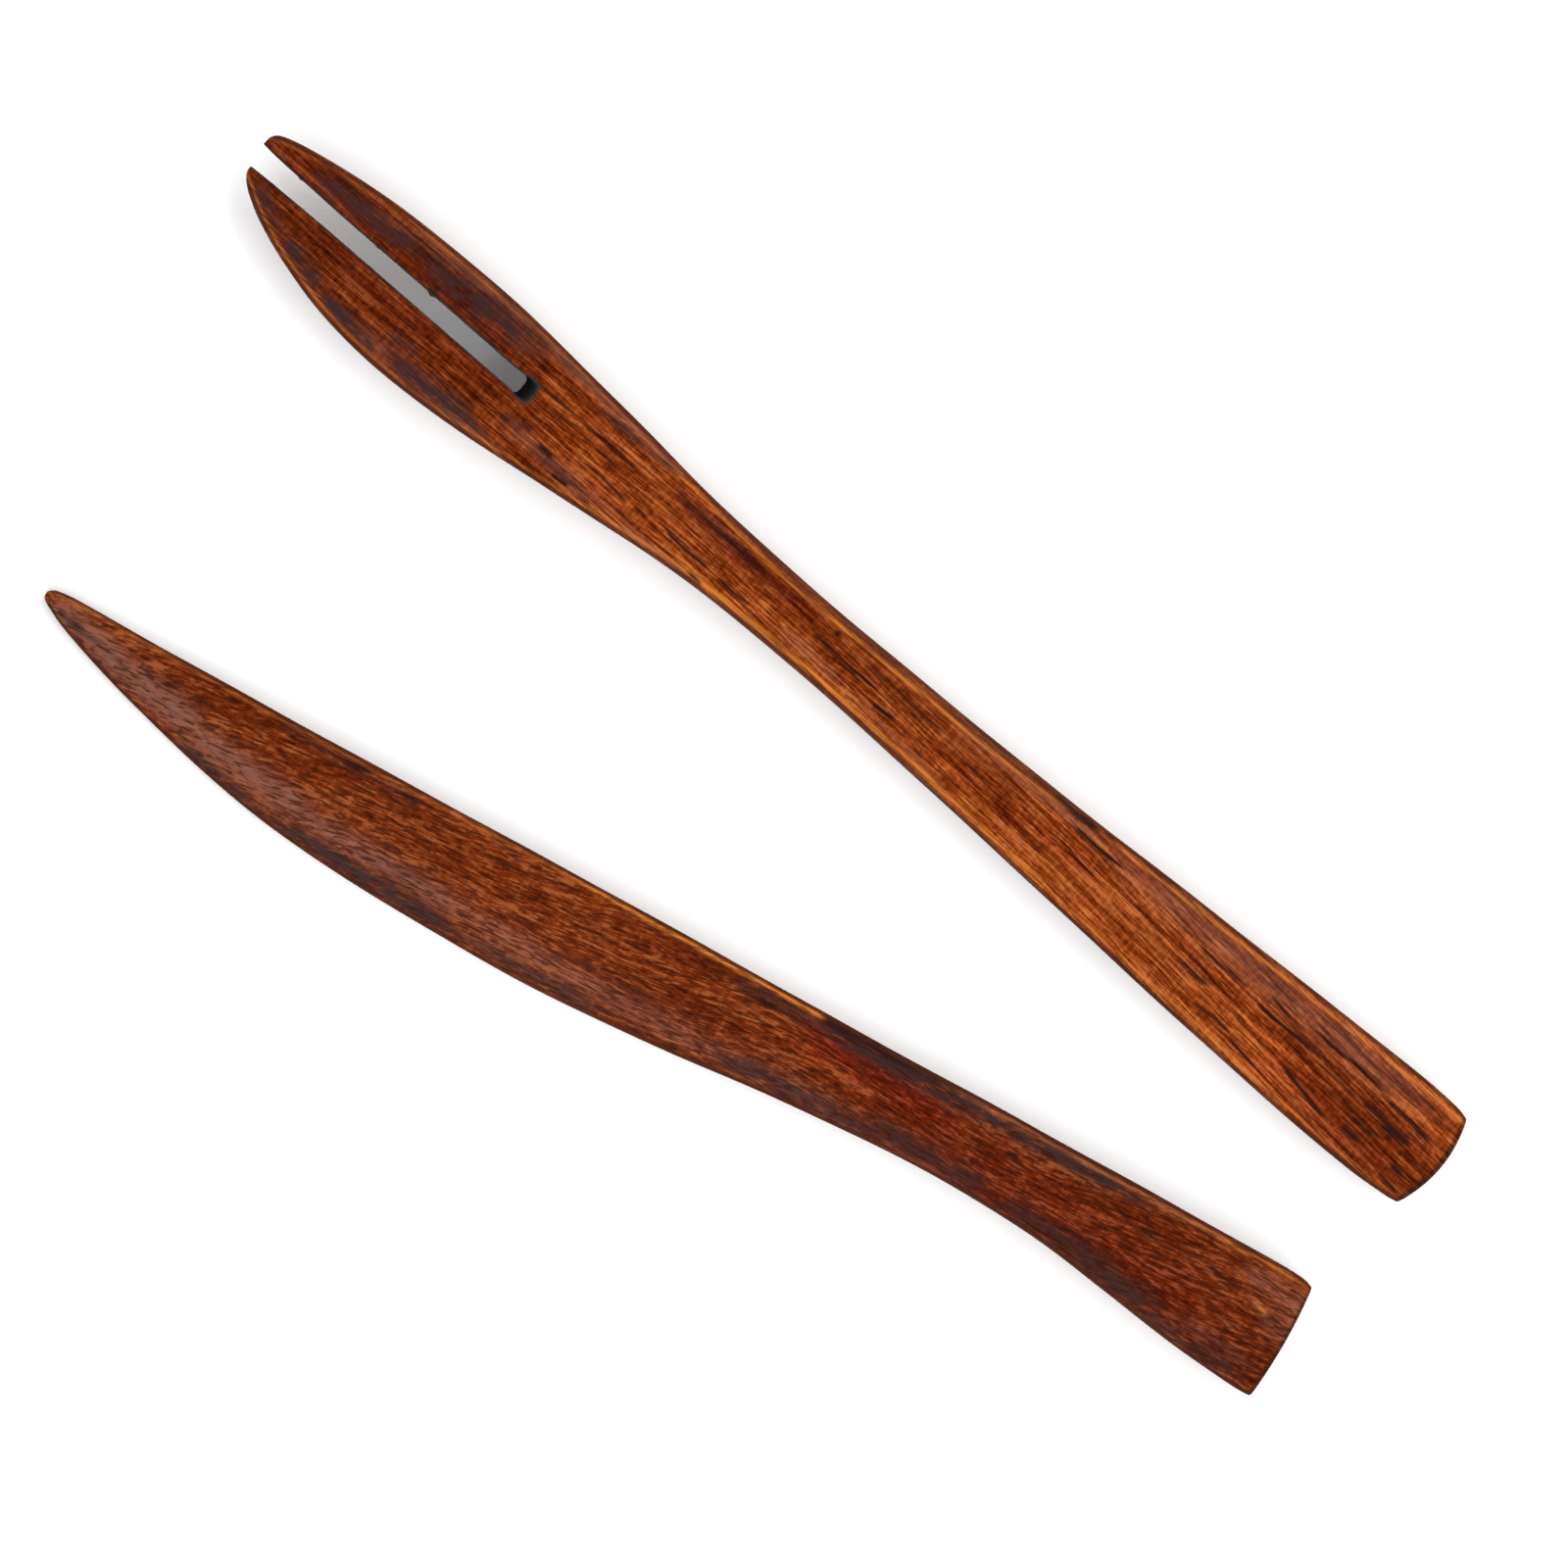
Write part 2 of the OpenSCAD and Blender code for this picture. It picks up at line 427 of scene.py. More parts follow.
def fork_outer(x, side):
    """The outer edge of one half, drawn in at both ends."""
    edge = smooth(FORK_PLAN, 2 if side > 0 else 1, x) + side * wander(x, 2 + side)
    butt_depth = 0.9 if side > 0 else 0.45
    edge = edge - side * butt_depth * arc_drop(np.clip((x - 173.2) / 2.2, 0, 1))
    reach, depth, start = (0.9, 0.9, 0.0) if side > 0 else (2.2, 0.95, WIDE_TINE_BACK)
    return edge - side * depth * arc_drop(np.clip((reach - (x - start)) / reach, 0, 1))


def fork_corner(x, side):
    """Width, depth and squareness of the outer top corner: a facet or a scallop."""
    facet = within(x, (56, 76), (104, 128)) if side > 0 else 0.0 * x
    scallop = 0.0 * x if side > 0 else within(x, (60, 75), (95, 125))
    width = 0.75 + 0.55 * facet + 0.1 * scallop
    depth = 0.8 + 0.9 * facet + 0.5 * scallop
    return width, depth, 2.0 - 0.7 * facet - 0.4 * scallop


def half_face(inner, outer, side, size, columns, steps):
    """From the inner line to the outer edge: places across, and how far the corner has dropped."""
    width, depth, power = size
    out, down = corner(steps, power)
    shoulder = upright(outer - side * width)
    flat = upright(inner) + (shoulder - upright(inner)) * np.linspace(0, 1, columns)[:-1]
    y = np.concatenate([flat, shoulder + side * upright(width) * out], 1)
    return y, np.concatenate([np.zeros_like(flat), upright(depth) * down], 1)


def fitted(width, depth, power, room, thick, share):
    """A corner's size, kept within a share of the room and the thickness there are."""
    return np.minimum(width, share * room), np.minimum(depth, share * thick), power


def fork_open_half(x, side, inner):
    """Points of one half, from the top's inner line round to the underside's."""
    outer = fork_outer(x, side)
    under, top = fork_height(x, outer)
    room, thick = np.abs(outer - inner), top - under
    size = fitted(*fork_corner(x, side), room, thick, TOP_CORNER_SHARE)
    y_top, drop = half_face(inner, outer, side, size, TOP_COLUMNS, TOP_CORNER_STEPS)
    size = fitted(LOW_CORNER, LOW_CORNER, 2 + 0 * x, room, thick, LOW_CORNER_SHARE)
    y_low, rise = half_face(inner, outer, side, size, UNDER_COLUMNS, LOW_CORNER_STEPS)
    z_top = fork_height(upright(x), y_top)[1] - drop
    z_low = fork_height(upright(x), y_low)[0] + rise
    return closed_section(y_top, z_top, y_low, z_low, outer + side * SIDE_BULGE)


def slot_points(x, turn, side, z):
    """The slot's face for each ring, from its lower edge up."""
    bottom, top = z[:, -1:], z[:, :1]
    edge = np.minimum(SLOT_EDGE, 0.3 * (top - bottom))
    down = math.pi / 2 * np.linspace(0, 1, EDGE_STEPS + 1)[1:]
    low_off = edge * (1 - np.sin(down))
    low_z = bottom + edge * (1 - np.cos(down))
    up_z = top - (low_z - bottom)[:, ::-1]
    share = np.linspace(0, 1, WALL_COLUMNS + 2)[1:-1]
    wall_z = low_z[:, -1:] + (up_z[:, :1] - low_z[:, -1:]) * share
    offset = np.concatenate([low_off, np.zeros_like(wall_z), low_off[:, ::-1]], 1)
    height = np.concatenate([low_z, wall_z, up_z], 1)
    reach = upright(slot_half(x)) + offset
    reach = reach - upright(splinters(x, side)) * ease(height, bottom + 1.0, top)
    bent = upright(turn)
    ring_x = np.where(bent > 0, SLOT_CENTRE_X + reach * out_turn(bent), upright(x))
    ring_y = upright(slot_middle(x)) + side * reach * side_turn(bent)
    return ring_x, ring_y, height


def splinters(x, side):
    """How far splinters and the saw's marks stand into the slot."""
    out = np.zeros_like(x)
    if side > 0:
        for place, size, depth in SPLINTERS:
            out += depth * np.exp(-(((x - place) / (0.5 * size)) ** 2))
    rough = 0.014 * np.sin(x * 3.1 + side) * np.sin(x * 1.3) + 0.006 * np.sin(x * 7.3)
    return out + rough * within(x, (0.5, 3), (37, 39.5))


def lean(x, z):
    """Leans the slot's closed end towards the tips."""
    near = within(x, (24, SLOT_CENTRE_X - 1), (SLOT_CENTRE_X + 2, 58))
    return x - SLOT_SLOPE * near * np.clip(1 - z / SLOPE_HEIGHT, 0, 1)


def stack(x, y, z):
    """Points of the fork, with the slot's lean and the butt's bow."""
    x = bow(lean(x, z), y, FORK_LENGTH, FORK_BOW, FORK_BUTT_HALF)
    return np.stack([x, y, z], -1)


def tine_points(near, turn, side):
    """Closed rings of one tine, and how many points of each lie off the slot."""
    x = near + (WIDE_TINE_BACK * fade(near, 0, 6) if side < 0 else 0)
    inner = slot_middle(x) + side * (slot_half(x) + SLOT_EDGE) * side_turn(turn)
    y, z = fork_open_half(x, side, inner)
    ring_x, ring_y, ring_z = slot_points(x, turn, side, z)
    all_x = np.concatenate([np.repeat(upright(x), y.shape[1], 1), ring_x[:, :-1]], 1)
    all_y = np.concatenate([y, ring_y[:, :-1]], 1)
    all_z = np.concatenate([z, ring_z[:, :-1]], 1)
    return stack(all_x, all_y, all_z), y.shape[1]


def handle_points(far, side):
    """Open rings of one half of the handle."""
    middle = (smooth(FORK_PLAN, 1, far) + smooth(FORK_PLAN, 2, far)) / 2
    settle = ease(far, 42, 80)
    inner = slot_middle(far) * (1 - settle) + middle * settle
    y, z = fork_open_half(far, side, inner)
    return stack(np.repeat(upright(far), y.shape[1], 1), y, z)


def make_fork():
    """The fork's shell: two tines that go on as one handle."""
    shell = Shell()
    near, turn, far = fork_rings()
    ends = {}
    for side in (-1, 1):
        tine, outside = tine_points(near, turn, side)
        ids = shell.add(tine)
        shell.skin(ids)
        shell.cap(ids[0], tine[0])
        handle = handle_points(far, side)
        handle_ids = shell.add(handle)
        shell.skin(np.concatenate([ids[-1:, :outside], handle_ids]), closed=False)
        ends[side] = (handle_ids[-1], handle[-1])
    high_ids, high_points = ends[1]
    low_ids, low_points = ends[-1]
    loop = np.concatenate([high_ids, low_ids[::-1][1:-1]])
    points = np.concatenate([high_points, low_points[::-1][1:-1]])
    shell.end_with_rim(loop, points, FORK_RIM)
    return shell.merged()


# ------------ the knife

# points across the top and the underside, round most corners and round the back's top corner
KNIFE_TOP_COLUMNS = 62
KNIFE_UNDER_COLUMNS = 14
LIP_STEPS = 6
BACK_STEPS = 8
# radius of the point, the angle round it where its rings start, and their number
POINT_RADIUS = 1.0
POINT_START = 0.12
POINT_STEPS = 10
# where the blade passes into the handle, and where the butt's arrises get sharper
HANDLE = (108, 128)
BUTT = (152, 161)


def knife_outline(x):
    """Lower and upper edge, drawn in at the point and at the butt."""
    pull = arc_drop(np.clip((POINT_RADIUS - x) / POINT_RADIUS, 0, 1))
    low = smooth(KNIFE_PLAN, 1, x) - wander(x, 5)
    high = smooth(KNIFE_PLAN, 2, x) + wander(x, 7)
    high = high - 0.55 * arc_drop(np.clip((x - 161.2) / 1.5, 0, 1))
    middle = low + 0.52 * (high - low)
    return low + (middle - low) * pull * 0.72, high + (middle - high) * pull * 0.72


def knife_top(x, y, low, high):
    """The top's height: a rounded bevel up from the cutting edge, then the back's slight crown."""
    back = smooth(KNIFE_SIDE, 1, x)
    edge = smooth(KNIFE_SIDE, 2, x)
    width = np.minimum(smooth(KNIFE_SIDE, 3, x), 0.8 * (high - low))
    t = np.clip((y - low) / width, 0, 1)
    bevel = edge + (back - edge) * (1 - (1 - t) ** 2)
    crest = low + 0.62 * (high - low)
    fall = np.clip((y - crest) / (high - crest), 0, 1)
    near = np.clip((low + 2.5 - y) / 2.5, 0, 1) * ease(x, 100, 125)
    dents = 0.028 * np.sin(x / 7.3 - 0.5 * y) + 0.018 * np.sin(x / 3.1 + 0.9 * y) - 0.04
    return bevel - 0.3 * fall**2.5 - 0.25 * near**2 + dents * ease(x, 1, 8)


def knife_rings():
    """Places of the knife's rings."""
    turn = np.linspace(POINT_START, math.pi / 2, POINT_STEPS)
    tip = POINT_RADIUS * (1 - np.cos(turn))
    end = KNIFE_END - KNIFE_RIM
    rest = stations((1.2, 100, 0.3), (100, 158, 0.42), (158, 161, 0.25), (161, end, 0.12))
    return np.concatenate([tip, rest])


def knife_face(low, high, near, far, share):
    """From the cutting edge to the back: places across, and how far each corner has dropped."""
    (lip, lip_depth, lip_steps), (width, depth, steps) = near, far
    lip_out, lip_down = corner(lip_steps, 2 + 0 * low)
    out, down = corner(steps, 2 + 0 * low)
    y_lip = upright(low + lip) - upright(lip) * lip_out[:, ::-1]
    y_mid = upright(low + lip) + upright(high - width - low - lip) * share
    y_back = upright(high - width) + upright(width) * out
    drops = [upright(lip_depth) * lip_down[:, ::-1], np.zeros_like(y_mid), upright(depth) * down]
    return np.concatenate([y_lip, y_mid, y_back], 1), np.concatenate(drops, 1)


def knife_sections(x):
    """Points of every ring, from the cutting edge over the top and home underneath."""
    low, high = knife_outline(x)
    room, back, edge = high - low, smooth(KNIFE_SIDE, 1, x), smooth(KNIFE_SIDE, 2, x)
    handle, butt = ease(x, *HANDLE), ease(x, *BUTT)
    lip = np.minimum(0.34 + 0.5 * handle - 0.45 * butt, 0.25 * room)
    lip_depth = np.minimum(0.4 + 0.5 * handle - 0.4 * butt, 0.4 * edge)
    width = np.minimum(0.6 - 0.2 * ease(x, 150, 162), 0.3 * room)
    depth = np.minimum(0.65, 0.3 * back)
    share = np.linspace(0, 1, KNIFE_TOP_COLUMNS)[1:-1] ** 1.05
    y_top, drop = knife_face(low, high, (lip, lip_depth, LIP_STEPS), (width, depth, BACK_STEPS), share)
    z_top = knife_top(upright(x), y_top, upright(low), upright(high)) - drop
    keel = np.minimum(1.3, 0.3 * room), np.minimum(0.45 + 0.3 * handle, 0.4 * edge), LIP_STEPS
    heel = np.minimum(0.7, 0.3 * room), np.minimum(0.7, 0.3 * back), LIP_STEPS
    share = np.linspace(1, 0, KNIFE_UNDER_COLUMNS)[-2:0:-1]
    y_low, z_low = knife_face(low, high, keel, heel, share)
    y, z = closed_section(y_top, z_top, y_low, z_low, high)
    centre = 0.45 * upright(back)
    return y, centre + (z - centre) * upright(1 - 0.45 * fade(x, 0, 1.3))


def make_knife():
    """The knife's shell, closed at its point and at its butt."""
    shell = Shell()
    x = knife_rings()
    y, z = knife_sections(x)
    all_x = bow(np.repeat(upright(x), y.shape[1], 1), y, KNIFE_END, KNIFE_BOW, KNIFE_BUTT_HALF)
    points = np.stack([all_x, y, z], -1)
    ids = shell.add(points)
    shell.skin(ids)
    shell.cap(ids[0], points[0])
    shell.end_with_rim(ids[-1], points[-1], KNIFE_RIM)
    return shell.merged()


# ------------ placing the pieces


def turned(points, degrees):
    """Points turned about the z axis."""
    angle = math.radians(degrees)
    cos, sin = math.cos(angle), math.sin(angle)
    out = points.copy()
    out[:, 0] = points[:, 0] * cos - points[:, 1] * sin
    out[:, 1] = points[:, 0] * sin + points[:, 1] * cos
    return out


def node_box(*names):
    """Lowest and highest corner of some CAD nodes together, in millimetres."""
    boxes = [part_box(name) for name in names]
    low = np.min([list(box[0]) for box in boxes], axis=0) / MM
    high = np.max([list(box[1]) for box in boxes], axis=0) / MM
    return low, high


def on_table(points, shift):
    """Moved points, none lower than the shift's z."""
    placed = points + shift
    placed[:, 2] = np.maximum(placed[:, 2], shift[2])
    return placed


def fork_to_frame(points):
    """Lays the fork's lowest corner on that of its CAD nodes' box."""
    low, _ = node_box("fork_handle", "fork_wide_tine", "fork_narrow_tine")
    edge = min(row[1] for row in FORK_PLAN)
    return on_table(points, np.array([low[0], low[1] - edge, low[2]]))


def knife_to_frame(points):
    """Turns the knife and lays its outline on the CAD node's box."""
    low, high = node_box("knife_tool")
    x = np.linspace(0, KNIFE_LENGTH, 800)
    edges = []
    for column in (1, 2):
        y = smooth(KNIFE_PLAN, column, x)
        bowed = bow(x, y, KNIFE_LENGTH, KNIFE_OUTLINE_BOW, KNIFE_BUTT_HALF)
        edges.append(np.stack([bowed, y, 0 * x], -1))
    outline = turned(np.concatenate(edges), KNIFE_TURN)
    across = (low[1] + high[1] - outline[:, 1].min() - outline[:, 1].max()) / 2
    shift = np.array([high[0] - outline[:, 0].max(), across, low[2]])
    return on_table(turned(points, KNIFE_TURN), shift)


def build(name, points, faces):
    """Makes a smooth mesh object from points in millimetres."""
    mesh = bpy.data.meshes.new(name)
    mesh.from_pydata((points * MM).tolist(), [], faces)
    work = bmesh.new()
    work.from_mesh(mesh)
    bmesh.ops.recalc_face_normals(work, faces=work.faces)
    work.to_mesh(mesh)
    work.free()
    for polygon in mesh.polygons:
        polygon.use_smooth = True
    return add(name, mesh)


# ------------ the wood's marks

# start x, start y, end x, end y, width, strength
FORK_DARK = [
    (41.5, 2, 58, 1.9, 0.34, 0.55),
    (41.5, 0.95, 56, 0.8, 0.3, 0.5),
    (50.5, -1.2, 57.5, -1.8, 0.34, 0.85),
    (39.6, -3.4, 41.2, -3.4, 0.5, 0.5),
    (42.3, -2.5, 43.8, -2.6, 0.4, 0.5),
    (45.2, -3.3, 47.6, -3.4, 0.5, 0.8),
    (48.4, -4.8, 51, -4.65, 0.5, 0.9),
    (52.3, -4.6, 54.2, -4.5, 0.4, 0.5),
    (60, 2.4, 80, 1.8, 1.5, 0.3),
    (60, 2.7, 72, 2.2, 0.5, 0.45),
    (62, -1.4, 69.2, -1.5, 0.4, 0.85),
    (70.2, -1.6, 75.5, -1.7, 0.4, 0.75),
    (58, -1.5, 60, -1.5, 0.36, 0.7),
    (67.2, -3.3, 69.6, -3.4, 0.42, 0.75),
    (82.4, 0.4, 92.6, 0.2, 0.4, 0.75),
    (88, 1.7, 97, 1.6, 0.3, 0.6),
    (92.4, -1.2, 95.9, -1.1, 0.5, 1),
    (94, 1.5, 101.5, 1.4, 0.3, 0.6),
    (99.3, -2.2, 101, -2.3, 0.3, 0.6),
    (104, 1.6, 114, 1.5, 0.28, 0.4),
    (103, 0.3, 112, 0.1, 0.3, 0.35),
    (114.5, 4.3, 121.5, 4.1, 0.5, 1),
    (118.2, 2.75, 127, 2.7, 0.4, 0.9),
    (119.5, 0.2, 124.5, 0.1, 0.36, 0.6),
    (137.4, -1, 142.4, -1.1, 0.42, 0.9),
    (137.8, 1.7, 146.2, 1.4, 0.36, 0.75),
    (142, -3.45, 147, -3.6, 0.36, 0.7),
    (146.8, -3.85, 152.2, -4.9, 0.36, 0.75),
    (146.8, 0.9, 156.5, 0.8, 0.3, 0.95),
    (147, 3.8, 151.5, 3.6, 0.36, 0.55),
    (147.4, 2.6, 154, 1.7, 0.32, 0.8),
    (153.6, -2.6, 162, -4.2, 0.42, 0.85),
    (154, 2.7, 166, 2.75, 0.42, 0.8),
    (156, 0.4, 163, -0.1, 0.32, 0.5),
    (158, -1.3, 164, -1.6, 0.36, 0.5),
    (163, 0.5, 169, -0.5, 0.45, 0.75),
    (166.8, -0.3, 170.8, -0.3, 0.85, 0.95),
    (164.5, 2.2, 173.2, 1.35, 0.4, 0.85),
    (163.2, -1.9, 168.2, -1.9, 0.42, 0.65),
    (163.5, -3.6, 166.2, -3.7, 0.55, 0.75),
    (170.4, -3.3, 172.4, -3.5, 0.7, 0.8),
    (169.8, -4.9, 173.4, -5.2, 0.4, 0.7),
    (156, -4.8, 161, -5.2, 0.4, 0.45),
    (160, 4.2, 168, 3.9, 0.3, 0.4),
    (24.6, 2.2, 26.4, 2.15, 0.4, 1),
    (5.2, 2.6, 6.3, 2.55, 0.35, 1),
    (16.8, 2.35, 18, 2.3, 0.3, 0.8),
    (33.4, 2.1, 35, 2.05, 0.3, 0.7),
]
FORK_PURPLE = [
    (6, 3.7, 22, 4.7, 1.7, 0.6),
    (22, 4.3, 40, 5.3, 2.6, 0.7),
    (24, 4.8, 31, 5, 1.6, 0.6),
    (2, -1.3, 8, -3.6, 1.5, 0.55),
    (8, -3.6, 16, -5.8, 1.5, 0.7),
    (15, -5.9, 25, -7.1, 1.3, 0.75),
    (25, -6.4, 40, -6.4, 1.9, 0.7),
    (30, -5.5, 38, -5.8, 1.4, 0.7),
    (24, -4.4, 29, -4.3, 1, 0.45),
    (39.5, -3.4, 44, -3, 1.2, 0.35),
    (44, -3.6, 54, -4.6, 1.1, 0.5),
    (48, 4.6, 61, 4.6, 1, 0.6),
    (36, 6.3, 58, 5.2, 1.1, 0.35),
    (125, 3.4, 170, 3.8, 3.4, 0.22),
    (60, 3, 72, 2.4, 1.2, 0.3),
]
FORK_BRIGHT = [
    (14.5, -2.6, 21.5, -3.1, 0.7, 0.6),
    (19, -1.6, 25, -1.9, 0.5, 0.4),
    (26.5, -1.2, 33.5, -1.9, 0.8, 0.5),
    (40.8, 3.2, 44, 3.7, 0.8, 0.5),
    (42.5, 1.5, 56, 1.4, 0.5, 0.45),
    (42, -0.4, 52, -0.6, 0.8, 0.5),
    (50, -2.6, 58, -3, 0.6, 0.35),
    (59, -0.5, 72, -0.7, 0.6, 0.6),
    (66, 0.6, 76, 0.4, 0.5, 0.4),
    (75, -1, 88, -1.9, 1.8, 0.65),
    (96, 0.6, 106, 0.4, 0.4, 0.45),
    (100, -1.3, 110, -2.4, 0.9, 0.45),
    (116, -2.6, 130, -3.4, 1.6, 0.4),
    (128, 0.3, 137, 0, 0.7, 0.4),
    (133, -2.5, 147, -2.8, 1.2, 0.4),
    (146, -0.9, 156, -1.2, 0.7, 0.35),
    (158, 5.7, 171, 5.9, 0.6, 0.7),
    (158, -5.4, 168, -5.8, 0.8, 0.4),
    (4, 3.3, 9, 3.2, 0.5, 0.4),
    (122, 5, 176, 6, 1.1, 0.7),
    (123, 1.6, 155, 2, 2.6, 0.5),
    (57, -1, 104, -1.5, 2, 0.5),
    (47, -4.8, 72, -3.9, 1.2, 0.5),
    (100, -4.1, 166, -5.4, 1.4, 0.4),
    (47, 5, 66, 4.3, 1, 0.5),
]
KNIFE_DARK = [
    (38.2, 5, 42.3, 4.9, 0.5, 0.9),
    (45.8, 4.8, 48.2, 4.7, 0.5, 0.8),
    (20.5, 3, 22, 3, 0.4, 0.6),
    (58, 3.4, 61, 3.6, 0.3, 0.6),
    (66, 4.6, 69, 4.7, 0.3, 0.6),
    (71.5, 1.6, 74.5, 1.9, 0.35, 0.7),
    (76.5, 2.6, 79.5, 2.9, 0.3, 0.7),
    (87, 1.9, 90, 2, 0.3, 0.5),
    (92, 4.4, 94.4, 4.2, 0.7, 0.7),
    (91, 5.6, 99, 5.2, 0.7, 0.5),
    (125, 3, 126.6, 2.8, 0.6, 0.8),
    (125.8, 1.3, 127.6, 1.1, 0.5, 0.7),
    (132.8, 3.3, 134, 3.2, 0.4, 0.6),
    (142, 2.9, 145, 2.7, 0.5, 0.95),
    (150.6, 3.1, 152.8, 2.6, 0.4, 0.8),
    (151.5, 2.6, 156.5, 2.3, 0.3, 0.75),
    (147, 1.2, 154, 0.7, 0.3, 0.4),
    (152, -1, 160, -1.6, 0.3, 0.45),
    (154, -6.2, 158, -6.6, 1, 0.6),
]
# mostly a painted dim sheen: the purple of a faint reflection along the knife's edges
KNIFE_PURPLE_SHEEN = [
    (2, 3.7, 6, 3.1, 0.8, 0.6),
    (4, 3, 10, 2.6, 0.5, 0.5),
    (20, -2.4, 34, -5, 1.2, 0.6),
    (33, -5, 60, -6, 1.5, 0.75),
    (58, -5.6, 78, -5.8, 1.4, 0.6),
    (88, 5, 100, 5, 1.6, 0.45),
    (97, 5.4, 124, 5.5, 1.9, 1),
    (116, 5.3, 142, 5.5, 1.4, 0.8),
    (90, -3.4, 112, -2.2, 1.6, 0.6),
    (108, -1.6, 126, -1.6, 2, 0.6),
    (126, -1.8, 142, -2.8, 1.8, 0.5),
    (136, -2.6, 150, -5, 2, 0.7),
    (146, -5.2, 161, -6.4, 1.6, 0.45),
    (30, 5, 50, 4.8, 1.2, 0.3),
]
KNIFE_BRIGHT = [
    (103, 1.2, 108.5, 1.4, 0.7, 0.6),
    (115, 1.5, 122, 1.3, 0.7, 0.4),
    (133, 1.9, 141, 2, 0.7, 0.4),
    (128, -0.4, 133, -0.4, 0.5, 0.35),
    (155, -0.4, 161, -1.4, 1.2, 0.45),
    (143, 0, 150, -0.4, 0.9, 0.3),
    (78, 1, 84, 1.2, 0.6, 0.35),
    (20, 4.6, 32, 4.6, 0.6, 0.3),
]
KNIFE_SCRATCH = [
    (157.2, 1.95, 159.4, 1.3, 0.5, 0.8),
]
FORK_SHADE = [
    (-8, 1.5, 45, 2, 20, 0.8),
    (4, -1.6, 34, -2.2, 4, 1),
    (2, 4.4, 38, 5, 4, 1),
    (96, 4.1, 124, 4.2, 1.4, 0.9),
    (58, 2.4, 120, 1.4, 2, 0.4),
    (54, 1, 122, 0.6, 2.2, 0.4),
    (104, -1.2, 146, -2, 2.2, 0.3),
    (150, 0.4, 178, 0.2, 2.2, 0.5),
    (158, -3, 182, -3.4, 8, 0.65),
]
KNIFE_SHADE = [
    (90, -3, 130, -1.8, 3, 0.5),
    (124, -2.4, 168, -5.4, 4, 0.65),
    (108, 1.4, 160, 0.6, 7, 0.28),
    (28, -4.5, 64, -6.2, 1.8, 0.45),
    (100, 5.6, 146, 5.6, 2, 0.4),
]
# painted sheen: a pinkish-grey reflection along the fork's edges and the handle's upper side
FORK_SHEEN = [
    (36, 6.4, 60, 4.7, 1.1, 0.5),
    (40, -3.6, 60, -4.1, 1.6, 0.3),
    (57, -4.1, 70, -3.7, 0.8, 0.45),
    (79, -1.4, 89, -1.8, 1, 0.35),
    (100, 2.9, 126, 3.4, 1, 0.4),
    (120, 3.1, 173, 4.4, 2.8, 0.4),
    (88, -2, 106, -3.1, 0.6, 0.3),
    (12, 4.6, 28, 6.3, 0.9, 0.25),
    (18, 6.5, 40, 6.5, 1, 0.4),
    (16, -6.4, 44, -6.7, 1.6, 0.3),
]
# painted sheen: a pinkish-grey reflection on the knife's bevel and along its back; the row at 156.9
# pales a scratch
KNIFE_SHEEN = [
    (1, 4.2, 12, 2.4, 2, 1),
    (6, 2.6, 24, -0.3, 2.6, 1.1),
    (20, -0.6, 40, -2.6, 2.4, 0.9),
    (36, -2.7, 60, -3.5, 1.9, 0.65),
    (58, -3.5, 92, -3.7, 1.7, 0.33),
    (108, 6.1, 156, 6.3, 0.5, 0.65),
    (154, 4.6, 166, 3.5, 2.2, 0.45),
    (158.5, 1.5, 164, 0.8, 3.2, 0.4),
    (156.9, 1.9, 159.8, 1.2, 0.55, 1),
    (150, -3.8, 161, -4.6, 1.2, 0.2),
]
FORK_RED = [
    (1, 3.8, 42, 3.4, 3.2, 0.5),
    (8, -1.2, 40, -1.6, 2.4, 0.35),
    (58, 2.6, 82, 1.8, 1.8, 0.5),
    (100, -0.2, 130, -0.6, 1.4, 0.3),
    (150, -3.5, 174, -3, 4, 0.4),
]
KNIFE_RED = [
    (97, 3.7, 120, 3, 3.6, 1),
    (104, 0.5, 162, -1, 7, 0.55),
]

# how far a stroke of wobble 1 strays, and how its ends taper
STRAY = 0.07
TAPER = (-0.08, 0.22)
# how much the strokes of each kind wobble
DARK_WOBBLE = 1.0
BRIGHT_WOBBLE = 0.6
STAIN_WOBBLE = 0.3
# how far up the wood faces where marks on the arrises fade in
ARRIS_FACING = (0.1, 0.4)


def painted(x, y, strokes, wobble):
    """Strength of some soft strokes at each point."""
    out = np.zeros_like(x)
    for x0, y0, x1, y1, width, strength in strokes:
        t = (x - x0) / (x1 - x0)
        taper = ease(t, *TAPER) * ease(1 - t, *TAPER)
        line = y0 + (y1 - y0) * t + wobble * STRAY * np.sin(0.9 * x + 2.7 * y0)
        body = 0.62 * width * (0.45 + 0.55 * taper)
        mark = strength * taper * np.exp(-(((y - line) / body) ** 2))
        out = np.maximum(out, mark)
    return out


def band(value, middle, width):
    """1 on a line, fading on both sides."""
    return np.exp(-(((value - middle) / width) ** 2))


def fork_facet(x):
    """Where the facet along the neck's upper edge shows."""
    return within(x, (60, 76), (108, 122))


def fork_gold(x, low, high):
    """Gold lines on the two long arrises: wood bared by wear, with a painted highlight on it."""
    neck = within(x, (60, 70), (98, 128))
    head = within(x, (18, 24), (46, 56))
    facet = fork_facet(x)
    low_line = band(low, 0.72 + 0.2 * ease(x, 56, 66), 0.18 + 0.1 * neck)
    low_level = 0.4 - 0.14 * head + 0.1 * ease(x, 20, 60) + 0.45 * neck - 0.3 * ease(x, 158, 168)
    high_line = band(high, 0.75 + 0.45 * facet + 0.15 * ease(x, 120, 126), 0.18 + 0.05 * facet)
    high_level = 0.2 + 0.1 * ease(x, 16, 26) + 0.5 * facet * (1 - 0.6 * ease(x, 98, 106))
    high_level = high_level + 0.4 * ease(x, 122, 130)
    return np.maximum(low_line * low_level, high_line * high_level)


